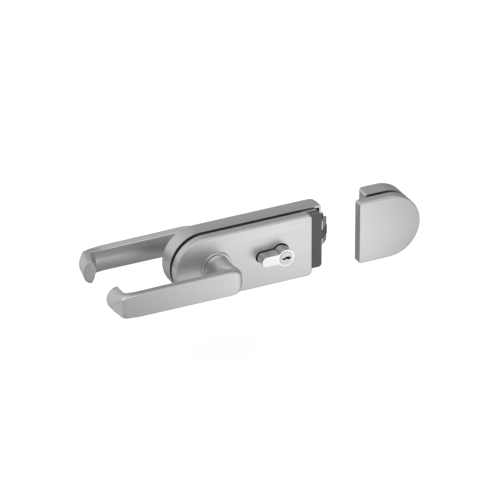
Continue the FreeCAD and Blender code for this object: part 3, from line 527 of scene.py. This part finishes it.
def lever_loops(size, hook):
    """Loops of a lever from its neck's foot to the tip of its returned end.

    Every point of the grip's section follows its own line in plan: up the neck, round the
    bend, along the grip, over the slanted corner and down the returned end. Its height
    blends from the neck's circle to the grip's section and on to the leaf of the end.
    Returns X, height over the cover and Z, and the angle of each column.
    """
    height, depth, turn, part = grip_half_section(size)
    leaf_z, root_x, tip_x = end_leaf(size, hook, height, part)
    end, following, tip, cut, radius = end_corners(
        size, hook, height, depth, part, root_x, tip_x
    )
    side, bend = neck_corner(size, height, part)
    level = size.reach - depth
    over = np.stack([side, level], -1)
    round_x = size.neck * np.cos(turn)
    round_z = size.neck * np.sin(turn)
    neck_top = np.stack([round_x, level - bend], -1)

    # plan lines from the top of the neck to the tip
    bend_end = over - np.stack([bend, np.zeros_like(bend)], -1)
    bend_curve = quadratic(neck_top, over, bend_end, BEND_ROWS)
    most = np.linalg.norm(following - end, axis=-1) * GAP_SHARE
    radius_after = np.where(cut, np.minimum(radius, most), radius)
    soft = np.where(cut, hook.soft, PLAIN_SOFT)
    soft_before = np.minimum(soft, most)
    corner = corner_points(over, end, following, radius, radius_after, CORNER_ROWS)
    softened = corner_points(end, following, tip, soft_before, soft, SOFT_ROWS)
    grip = straight_points(bend_curve[-1], corner[0], GRIP_ROWS)
    slant = straight_points(corner[-1], softened[0], SLANT_ROWS)
    wall = straight_points(softened[-1], tip, END_ROWS)
    plan = np.concatenate([bend_curve, grip, corner, slant, softened, wall, tip[None]])
    plan_z = heights_along(size, hook, height, leaf_z, end[:, 1], plan)

    # the flared foot narrows as a power curve, and the round neck rises from it
    flare_power = 2.2
    rings = np.linspace(0.0, 1.0, FLARE_ROWS)[:, None]
    flare_radius = size.neck + (size.flare - size.neck) * (1.0 - rings) ** flare_power
    flare_level = np.repeat(size.start + size.flare_height * rings, len(turn), 1)
    flare_end = size.start + size.flare_height
    rise = np.linspace(0.0, 1.0, NECK_ROWS + 1)[1:, None]
    neck_x = np.tile(round_x, (NECK_ROWS, 1))
    neck_level = flare_end + (neck_top[:, 1] - flare_end) * rise

    # the round neck gives way to the grip's section over the last few millimetres
    section = np.concatenate([np.tile(height, (NECK_ROWS, 1)), plan_z[1:BEND_ROWS]])
    rising = np.concatenate([neck_level, plan[1:BEND_ROWS, :, 1]])
    meets = np.minimum(level, size.reach - size.edge_depth)
    given = ramp((rising - meets + size.blend) / size.blend)
    given[-1] = 1.0
    neck_z = round_z * (1 - given) + section * given

    x = np.concatenate([flare_radius * np.cos(turn), neck_x, plan[1:, :, 0]])
    levels = np.concatenate([flare_level, neck_level, plan[1:, :, 1]])
    z = np.concatenate([flare_radius * np.sin(turn), neck_z, plan_z[BEND_ROWS:]])
    loops = np.stack([x, levels, z], -1)
    mirrored = loops[:, -2:0:-1] * np.array([1.0, 1.0, -1.0])
    return np.concatenate([loops, mirrored], 1), np.concatenate([turn, -turn[-2:0:-1]])


def ring(angle, radius, level):
    """A round loop at one height."""
    return np.stack(
        [radius * np.cos(angle), np.full_like(angle, level), radius * np.sin(angle)], -1
    )


def square_ring(angle, half, level):
    """A square loop at one height: each ray meets the nearer side."""
    reach = half / np.maximum(np.abs(np.cos(angle)), np.abs(np.sin(angle)))
    return ring(angle, reach, level)


def lever_piece(name, size, hook, face, out):
    """One lever, from its socket to its tip, set on a cover's face.

    Its inside is a square socket in a round bearing. Its tip is rounded by loops that
    shrink and fall along a quarter ellipse, and is closed by two more and a pole.
    """
    loops, angle = lever_loops(size, hook)
    inside = np.stack([
        square_ring(angle, size.socket, size.socket_depth),
        square_ring(angle, size.socket, -size.boss_depth),
        ring(angle, size.boss - BREAK, -size.boss_depth),
        ring(angle, size.boss, BREAK - size.boss_depth),
        ring(angle, size.boss, size.start),
        ring(angle, size.flare - BREAK, size.start),
    ])
    foot = loops[:FLARE_ROWS]
    foot[..., 1] = np.maximum(foot[..., 1], size.start + LIFT)
    tip_loop = loops[-1]
    middle = tip_loop.mean(0)
    turns = np.radians(np.linspace(15.0, 90.0, 6))
    flat_shares = np.array([0.6, 0.25])
    shrinks = 1.0 - hook.tip_inset * (1.0 - np.cos(turns))
    shrinks = np.append(shrinks, shrinks[-1] * flat_shares)
    falls = hook.tip_round * np.append(np.sin(turns), np.ones_like(flat_shares))
    cap = middle + (tip_loop - middle) * shrinks[:, None, None]
    cap[..., 1] = tip_loop[:, 1] - falls[:, None]
    stack = [
        np.concatenate([inside, loops, cap]),
        np.array([0.0, size.socket_depth, 0.0]),
        middle - np.array([0.0, hook.tip_round, 0.0]),
    ]
    for points in stack:
        points[..., 1] = face + out * points[..., 1]
    return piece_from_loops(name, *stack)


# Finishes

# values between which most of a noise lies
NOISE_RANGE = (0.25, 0.75)

# heights of the relief on metal and on moulded pieces
LINE_RELIEF = 0.00001
GRAIN_RELIEF = 0.00002


def new_finish(name):
    """An empty material with a Principled shader, and its node tree."""
    finish = bpy.data.materials.new("finish_" + name)
    finish.use_nodes = True
    tree = finish.node_tree
    tree.nodes.clear()
    output = tree.nodes.new("ShaderNodeOutputMaterial")
    shader = tree.nodes.new("ShaderNodeBsdfPrincipled")
    tree.links.new(shader.outputs["BSDF"], output.inputs["Surface"])
    return tree, shader


def stretched_noise(tree, stretch, detail, rough):
    """Noise on Object coordinates, scaled by stretch along X, Y and Z."""
    place = tree.nodes.new("ShaderNodeTexCoord")
    mapping = tree.nodes.new("ShaderNodeMapping")
    mapping.inputs["Scale"].default_value = stretch
    noise = tree.nodes.new("ShaderNodeTexNoise")
    noise.inputs["Scale"].default_value = 1.0
    noise.inputs["Detail"].default_value = detail
    noise.inputs["Roughness"].default_value = rough
    tree.links.new(place.outputs["Object"], mapping.inputs["Vector"])
    tree.links.new(mapping.outputs["Vector"], noise.inputs["Vector"])
    return noise


def vary_roughness(tree, shader, source, low, high):
    """Roughness that wanders from low to high with a noise."""
    node = tree.nodes.new("ShaderNodeMapRange")
    node.inputs["From Min"].default_value = NOISE_RANGE[0]
    node.inputs["From Max"].default_value = NOISE_RANGE[1]
    node.inputs["To Min"].default_value = low
    node.inputs["To Max"].default_value = high
    tree.links.new(source.outputs["Fac"], node.inputs["Value"])
    tree.links.new(node.outputs["Result"], shader.inputs["Roughness"])


def shade(tone, factor):
    """The colour made lighter or darker, with full alpha."""
    return tuple(min(1.0, part * factor) for part in tone) + (1.0,)


def mottle(tree, shader, source, tone, amount):
    """Colour that wanders a little either side of the base colour."""
    mix = tree.nodes.new("ShaderNodeMix")
    mix.data_type = "RGBA"
    mix.inputs["A"].default_value = shade(tone, 1.0 - amount)
    mix.inputs["B"].default_value = shade(tone, 1.0 + amount)
    tree.links.new(source.outputs["Fac"], mix.inputs["Factor"])
    tree.links.new(mix.outputs["Result"], shader.inputs["Base Color"])


def bump(tree, shader, source, strength, depth):
    """Fine relief from a noise."""
    node = tree.nodes.new("ShaderNodeBump")
    node.inputs["Strength"].default_value = strength
    node.inputs["Distance"].default_value = depth
    tree.links.new(source.outputs["Fac"], node.inputs["Height"])
    tree.links.new(node.outputs["Normal"], shader.inputs["Normal"])


def metal(name, tone, roughness, stretch, grain=0.03, relief=0.12, detail=3.0):
    """A metal with fine lines: stretch sets how long and how close they are.

    Grain is how far the colour wanders, relief how strongly the lines stand out, and detail
    how many finer lines lie between them.
    """
    tree, shader = new_finish(name)
    shader.inputs["Metallic"].default_value = 1.0
    lines = stretched_noise(tree, stretch, detail, rough=0.6)
    mottle(tree, shader, lines, tone, grain)
    vary_roughness(tree, shader, lines, roughness - 0.04, roughness + 0.05)
    bump(tree, shader, lines, relief, LINE_RELIEF)


def moulded(name, tone, roughness, specular, scale):
    """Plastic or rubber with a fine even texture."""
    tree, shader = new_finish(name)
    shader.inputs["Specular IOR Level"].default_value = specular
    grains = stretched_noise(tree, (scale, scale, scale), detail=2.0, rough=0.5)
    mottle(tree, shader, grains, tone, amount=0.10)
    vary_roughness(tree, shader, grains, roughness - 0.06, roughness + 0.06)
    bump(tree, shader, grains, strength=0.2, depth=GRAIN_RELIEF)


class LOCKSET_OT_finishes(bpy.types.Operator):
    """Make the finish of every slot and give it to the solids"""

    bl_idname = "lockset.finishes"
    bl_label = "Finishes"

    def execute(self, context):
        tones = context.scene.lockset_finish

        # how often each texture changes in a metre, along X, Y and Z or in every direction
        brushed = (9.0, 330.0, 330.0)
        drawn = (200.0, 1800.0, 1800.0)
        even = (900.0, 900.0, 900.0)
        turned = (1500.0, 60.0, 1500.0)
        lapped = (500.0, 120.0, 500.0)
        fine = 2600.0
        finest = 3500.0

        metal("brushed", tones.satin, tones.satin_roughness, brushed, grain=0.06, detail=7.0)
        metal("zinc_plate", tones.plated, 0.38, drawn)
        metal("zinc_cast", tones.cast, 0.50, even, grain=0.10, relief=0.25)
        metal("screw_steel", tones.steel, 0.32, turned)
        metal("spring_steel", tones.plated, 0.25, drawn)
        metal("bolt_metal", tones.bolt, 0.30, drawn)
        metal("cylinder_nickel", tones.nickel, 0.19, lapped)
        metal("plug_nickel", tones.plug, 0.20, even, relief=0.06)
        metal("dark_screw", tones.black, 0.40, turned)
        moulded("dark_plastic", tones.plastic, 0.52, 0.45, fine)
        moulded("sleeve", tones.rubber, 0.60, 0.35, fine)
        moulded("gasket", tones.rubber, 0.75, 0.25, finest)
        moulded("buffer_rubber", tones.rubber, 0.55, 0.40, finest)
        for node, solid in NODES.items():
            solid.data.materials.clear()
            solid.data.materials.append(finish_of(node))
        return {"FINISHED"}


class LOCKSET_OT_levers(bpy.types.Operator):
    """Build both levers as smooth surfaces"""

    bl_idname = "lockset.levers"
    bl_label = "Levers"

    def execute(self, context):
        size = context.scene.lockset_lever
        hooks = (
            ("front_lever", context.scene.lockset_front_hook, COVER_FACE, -1.0),
            ("rear_lever", context.scene.lockset_rear_hook, CASE_FACE, 1.0),
        )
        for node, hook, face, out in hooks:
            dress(lever_piece(node + "_grip", size, hook, face, out), node)
        return {"FINISHED"}


def arc_reach(turn, radius, tight):
    """Way out, at an angle, to an outline of two straight sides joined by a tight arc.

    Both sides lie a radius away from the point that it is measured from. The straight
    sides take over where the ray passes beside the arc.
    """
    straight = radius / np.maximum(np.cos(turn), np.sin(turn))
    inset = radius - tight
    along = inset * (np.cos(turn) + np.sin(turn))
    arc = along + np.sqrt(np.maximum(along ** 2 - 2 * inset ** 2 + tight ** 2, 0.0))
    on_arc = np.minimum(np.tan(turn), 1.0 / np.maximum(np.tan(turn), TINY)) > inset / radius
    return np.where(on_arc, arc, straight)


def widen_end(piece, node, side, radius, tight):
    """Widen the rounding between a case's back and its flat end.

    Seen from above, each point near the corner keeps its angle about the wider arc's
    centre, and its distance shrinks by the new outline's share of the old one.
    """
    cuts = np.radians((0.0, 6.0, 12.0, 18.0))
    low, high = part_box(node)
    flat = high.x if side > 0 else low.x
    centre = Vector((flat - side * radius, high.y - radius, 0.0))
    mesh = piece.data
    form = bmesh.new()
    form.from_mesh(mesh)
    for turn in cuts:
        step = radius * math.tan(turn)
        for way in (Vector((side, 0.0, 0.0)), Vector((0.0, 1.0, 0.0))):
            parts = form.verts[:] + form.edges[:] + form.faces[:]
            bmesh.ops.bisect_plane(
                form, geom=parts, dist=MERGE, plane_co=centre + way * step, plane_no=way
            )
    form.to_mesh(mesh)
    form.free()
    points = np.empty(3 * len(mesh.vertices))
    mesh.vertices.foreach_get("co", points)
    points = points.reshape(-1, 3)
    out = np.stack([side * (points[:, 0] - centre.x), points[:, 1] - centre.y], -1)
    near = (out > MERGE / 10).all(-1)
    turn = np.arctan2(out[near, 1], out[near, 0])
    scaled = out[near] * (radius / arc_reach(turn, radius, tight))[:, None]
    points[near, 0] = centre.x + side * scaled[:, 0]
    points[near, 1] = centre.y + scaled[:, 1]
    mesh.vertices.foreach_set("co", points.ravel())
    smooth(mesh, PLATE_CREASE)


class LOCKSET_OT_covers(bpy.types.Operator):
    """Soften the covers, cases and collars"""

    bl_idname = "lockset.covers"
    bl_label = "Covers"

    edge: length("Edge", "Width of the softened edges", 0.00070)
    case_end: length("Case end", "Radius between the case's back and its flat end", 0.0070)
    strike_end: length("Strike end", "The same radius on the strike box", 0.0045)

    def execute(self, context):
        ends = {
            "rear_case": (1, self.case_end, MADE_CASE_END),
            "strike_case": (-1, self.strike_end, MADE_STRIKE_END),
        }
        for node in ("front_cover", "rear_case", "strike_cover", "strike_case"):
            piece = softened_copy(node, node + "_skin", self.edge)
            if node in ends:
                widen_end(piece, node, *ends[node])
            dress(piece, node)
        soften(("front_collar", "rear_collar"), 0.0)
        return {"FINISHED"}


class LOCKSET_OT_cylinder(bpy.types.Operator):
    """Soften the profile cylinder and its plugs"""

    bl_idname = "lockset.cylinder"
    bl_label = "Profile cylinder"

    edge: length("Edge", "Width of the softened edges", 0.00030)

    def execute(self, context):
        soften(("cylinder_body", "front_plug", "rear_plug"), self.edge)
        return {"FINISHED"}


class LOCKSET_OT_bolts(bpy.types.Operator):
    """Soften the latch bolt, its nose and the deadbolt"""

    bl_idname = "lockset.bolts"
    bl_label = "Bolts"

    edge: length("Edge", "Width of the softened edges", 0.00035)

    def execute(self, context):
        soften(("latch_bolt", "latch_nose", "deadbolt"), self.edge)
        return {"FINISHED"}


def squeeze(node):
    """A merged copy of a coil spring, with a mesh of its own, that stands for it."""
    piece = softened_copy(node, node + "_coil", 0.0)
    dress(piece, node)
    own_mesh(piece)


class LOCKSET_OT_springs(bpy.types.Operator):
    """Give the latch and lever springs merged copies of their own"""

    bl_idname = "lockset.springs"
    bl_label = "Springs"

    arm: length("Arm", "Reach of the follower's lower arm, which presses the spring", 0.0150)

    def execute(self, context):
        squeeze("latch_springs")
        squeeze("lever_spring")
        return {"FINISHED"}


class LOCKSET_OT_edge(bpy.types.Operator):
    """Soften the edge block, its plate, the buffer, the sleeves and the strike's pocket"""

    bl_idname = "lockset.edge"
    bl_label = "Edge pieces"

    edge: length("Edge", "Width of the softened edges", 0.00030)

    def execute(self, context):
        soften(("edge_block", "edge_plate", "door_buffer"), self.edge)
        soften(("spacer_sleeves", "strike_sleeves", "strike_pocket"), self.edge)
        return {"FINISHED"}


# Stage


def camera_axes(look):
    """Right, up and view directions from the camera's two angles."""
    turn = math.radians(look.azimuth)
    tilt = math.radians(look.elevation)
    level = math.cos(tilt)
    ahead = Vector((math.sin(turn) * level, math.cos(turn) * level, -math.sin(tilt)))
    right = Vector((math.cos(turn), -math.sin(turn), 0.0))
    return right, right.cross(ahead), ahead


def place_camera(look):
    """A long lens that frames the object as the photograph does."""
    # way in the picture from the middle of the cover's right end to the picture's middle
    aim_left = 0.0582
    aim_down = 0.0046
    right, up, ahead = camera_axes(look)
    anchor = Vector((LOCK_RIGHT, COVER_FACE, 0.0))
    target = anchor - right * aim_left - up * aim_down
    data = bpy.data.cameras.new("camera")
    data.lens = look.lens
    data.sensor_width = 36.0
    data.clip_start = 0.5
    data.clip_end = 60.0
    camera = placed("camera", data)
    basis = Matrix((right, up, -ahead)).transposed().to_4x4()
    camera.matrix_world = Matrix.Translation(target - ahead * look.distance) @ basis
    bpy.context.scene.camera = camera


def node_math(tree, kind, first, second):
    """A Math node; each input is a socket or a number."""
    node = tree.nodes.new("ShaderNodeMath")
    node.operation = kind
    for index, value in enumerate((first, second)):
        if isinstance(value, (int, float)):
            node.inputs[index].default_value = value
        else:
            tree.links.new(value, node.inputs[index])
    return node.outputs[0]


def eased(tree, source, start, end, low=0.0, high=1.0):
    """A smooth step of a value from low at the start to high at the end."""
    node = tree.nodes.new("ShaderNodeMapRange")
    node.interpolation_type = "SMOOTHSTEP"
    values = {"From Min": start, "From Max": end, "To Min": low, "To Max": high}
    for name, value in values.items():
        node.inputs[name].default_value = value
    tree.links.new(source, node.inputs["Value"])
    return node.outputs["Result"]


def joined(tree, kind, choice, first, second):
    """A Mix or Add node of two shaders; a Mix is steered by its choice."""
    node = tree.nodes.new(kind)
    inputs = list(node.inputs)
    if choice is not None:
        tree.links.new(choice, inputs.pop(0))
    tree.links.new(first, inputs[0])
    tree.links.new(second, inputs[1])
    return node.outputs["Shader"]


def split_axes(tree, name):
    """Texture coordinates of one kind, as a vector and as three separate axes."""
    place = tree.nodes.new("ShaderNodeTexCoord")
    axes = tree.nodes.new("ShaderNodeSeparateXYZ")
    tree.links.new(place.outputs[name], axes.inputs["Vector"])
    return place.outputs[name], axes.outputs


def floor_light(tree, look):
    """Strength of the floor as metal shows it.

    An even glow, brighter at the far left, and a pool of light in front, which rises from
    the grip's free end to the far side of the strike box and fades beyond it.
    """
    axes = split_axes(tree, "Object")[1]
    rise = eased(tree, axes["X"], look.pool_left, look.pool_right)
    fall = eased(tree, axes["X"], look.pool_right, look.pool_end, 1.0, look.pool_rest)
    across = node_math(tree, "MULTIPLY", rise, fall)
    ahead = eased(tree, axes["Y"], look.pool_back, look.pool_front)
    pool = node_math(tree, "MULTIPLY", across, ahead)
    scaled = node_math(tree, "MULTIPLY", pool, look.pool)
    brightest = look.floor_glow + look.left_glow
    glow = eased(tree, axes["X"], look.left_start, look.left_full, look.floor_glow, brightest)
    return node_math(tree, "ADD", scaled, glow)


def lay_floor(look):
    """A wide pale floor: white to the camera, a soft pool of light to the metal."""
    half = 6.0
    paint = (0.92, 0.92, 0.92, 1.0)
    fill_light = 0.55
    level = -look.floor_drop
    corners = [(x * half, y * half, level) for x, y in ((-1, -1), (1, -1), (1, 1), (-1, 1))]
    mesh = bpy.data.meshes.new("floor")
    mesh.from_pydata(corners, [], [(0, 1, 2, 3)])
    floor = placed("floor", mesh)
    finish = bpy.data.materials.new("floor")
    finish.use_nodes = True
    tree = finish.node_tree
    tree.nodes.clear()
    output = tree.nodes.new("ShaderNodeOutputMaterial")
    base = tree.nodes.new("ShaderNodeBsdfDiffuse")
    base.inputs["Color"].default_value = paint
    path = tree.nodes.new("ShaderNodeLightPath").outputs
    glow = tree.nodes.new("ShaderNodeEmission")
    tree.links.new(floor_light(tree, look), glow.inputs["Strength"])
    fill = tree.nodes.new("ShaderNodeEmission")
    fill.inputs["Strength"].default_value = fill_light
    lit = joined(tree, "ShaderNodeAddShader", None, base.outputs[0], fill.outputs[0])
    seen = joined(tree, "ShaderNodeMixShader", path["Is Camera Ray"], base.outputs[0], lit)
    mirrored = node_math(tree, "MAXIMUM", path["Is Glossy Ray"], path["Is Transmission Ray"])
    shown = joined(tree, "ShaderNodeMixShader", mirrored, seen, glow.outputs[0])
    tree.links.new(shown, output.inputs["Surface"])
    mesh.materials.append(finish)


def sky_light(tree, look):
    """Strength of the surroundings as the object sees them.

    They are even but for a light above, a lobe at the back left and, in front, a bright
    horizon with a dim band over it. Heights are sines of the angle above the horizon, and
    the way ahead is minus Y.
    """
    top = (0.62, 0.84)
    front = (-0.15, -0.60)
    band_foot = (0.08, 0.26)
    band_top = (0.62, 0.48)
    lobe_way = (-0.56, 0.79, 0.24)
    lobe_width = (0.80, 0.96)
    way, axes = split_axes(tree, "Generated")
    lobe = tree.nodes.new("ShaderNodeVectorMath")
    lobe.operation = "DOT_PRODUCT"
    lobe.inputs[1].default_value = lobe_way
    tree.links.new(way, lobe.inputs[0])
    above = eased(tree, axes["Z"], *top, 0.0, look.sky_high - look.sky_low)
    dimmed = eased(tree, axes["Z"], *band_foot, 0.0, look.sky_front - look.horizon)
    band = node_math(tree, "MULTIPLY", eased(tree, axes["Z"], *band_top), dimmed)
    rest = node_math(tree, "ADD", band, look.horizon - look.sky_low)
    below_top = eased(tree, axes["Z"], *reversed(top))
    near = node_math(tree, "MULTIPLY", rest, below_top)
    ahead = node_math(tree, "MULTIPLY", near, eased(tree, axes["Y"], *front))
    side = eased(tree, lobe.outputs["Value"], *lobe_width, 0.0, look.sky_side - look.sky_low)
    lit = node_math(tree, "ADD", node_math(tree, "ADD", above, ahead), side)
    return node_math(tree, "ADD", lit, look.sky_low)


def light_world(look):
    """Plain white to the camera, soft studio light to the object."""
    world = bpy.data.worlds.new("studio")
    bpy.context.scene.world = world
    world.use_nodes = True
    tree = world.node_tree
    tree.nodes.clear()
    output = tree.nodes.new("ShaderNodeOutputWorld")
    around = tree.nodes.new("ShaderNodeBackground")
    tree.links.new(sky_light(tree, look), around.inputs["Strength"])
    white = tree.nodes.new("ShaderNodeBackground")
    white.inputs["Strength"].default_value = 1.0
    white.inputs["Color"].default_value = (1.0, 1.0, 1.0, 1.0)
    path = tree.nodes.new("ShaderNodeLightPath").outputs
    ends = (around.outputs[0], white.outputs[0])
    shown = joined(tree, "ShaderNodeMixShader", path["Is Camera Ray"], *ends)
    tree.links.new(shown, output.inputs["Surface"])


class LOCKSET_OT_stage(bpy.types.Operator):
    """Set the floor, the surroundings and the camera"""

    bl_idname = "lockset.stage"
    bl_label = "Stage"

    def execute(self, context):
        look = context.scene.lockset_stage
        lay_floor(look)
        light_world(look)
        place_camera(look)
        context.scene.view_settings.view_transform = "Standard"
        return {"FINISHED"}


class LOCKSET_PT_panel(bpy.types.Panel):
    """Lists the steps that build the lockset"""

    bl_label = "Lockset"
    bl_idname = "LOCKSET_PT_panel"
    bl_space_type = "VIEW_3D"
    bl_region_type = "UI"
    bl_category = "Lockset"

    def draw(self, context):
        column = self.layout.column()
        for step in STEPS:
            column.operator(step.bl_idname)
        column.prop(context.scene.lockset_finish, "satin")
        column.prop(context.scene.lockset_stage, "pool")


STEPS = (
    LOCKSET_OT_finishes,
    LOCKSET_OT_levers,
    LOCKSET_OT_covers,
    LOCKSET_OT_cylinder,
    LOCKSET_OT_bolts,
    LOCKSET_OT_springs,
    LOCKSET_OT_edge,
    LOCKSET_OT_stage,
)
GROUPS = (LeverSizes, HookSizes, FinishColours, StageLook)
SETTINGS = {
    "lockset_lever": LeverSizes,
    "lockset_front_hook": HookSizes,
    "lockset_rear_hook": HookSizes,
    "lockset_finish": FinishColours,
    "lockset_stage": StageLook,
}

CLASSES = GROUPS + STEPS + (LOCKSET_PT_panel,)

# the rear lever's returned end leans inwards
REAR_HOOK = {
    "root": 0.0990,
    "root_radius": 0.0122,
    "tip": 0.1078,
    "tip_radius": 0.0087,
    "facet": 0.1048,
    "facet_run": 0.0125,
    "facet_fall": 0.0071,
    "soft": 0.0040,
    "corner": 0.0055,
    "pinch": 0.0,
    "tip_round": 0.0006,
    "tip_inset": 0.04,
}


def register():
    """Add the classes, and the settings to the scene."""
    for item in CLASSES:
        bpy.utils.register_class(item)
    for name, group in SETTINGS.items():
        setattr(bpy.types.Scene, name, PointerProperty(type=group))


def unregister():
    """Take the settings off the scene, and the classes away."""
    for name in SETTINGS:
        delattr(bpy.types.Scene, name)
    for item in reversed(CLASSES):
        bpy.utils.unregister_class(item)


def main():
    """Run every step in order."""
    register()
    for name, value in REAR_HOOK.items():
        setattr(bpy.context.scene.lockset_rear_hook, name, value)
    bpy.ops.lockset.finishes()
    bpy.ops.lockset.levers()
    bpy.ops.lockset.covers()
    bpy.ops.lockset.cylinder()
    bpy.ops.lockset.bolts()
    bpy.ops.lockset.springs()
    bpy.ops.lockset.edge()
    bpy.ops.lockset.stage()


if __name__ == "__main__":
    main()
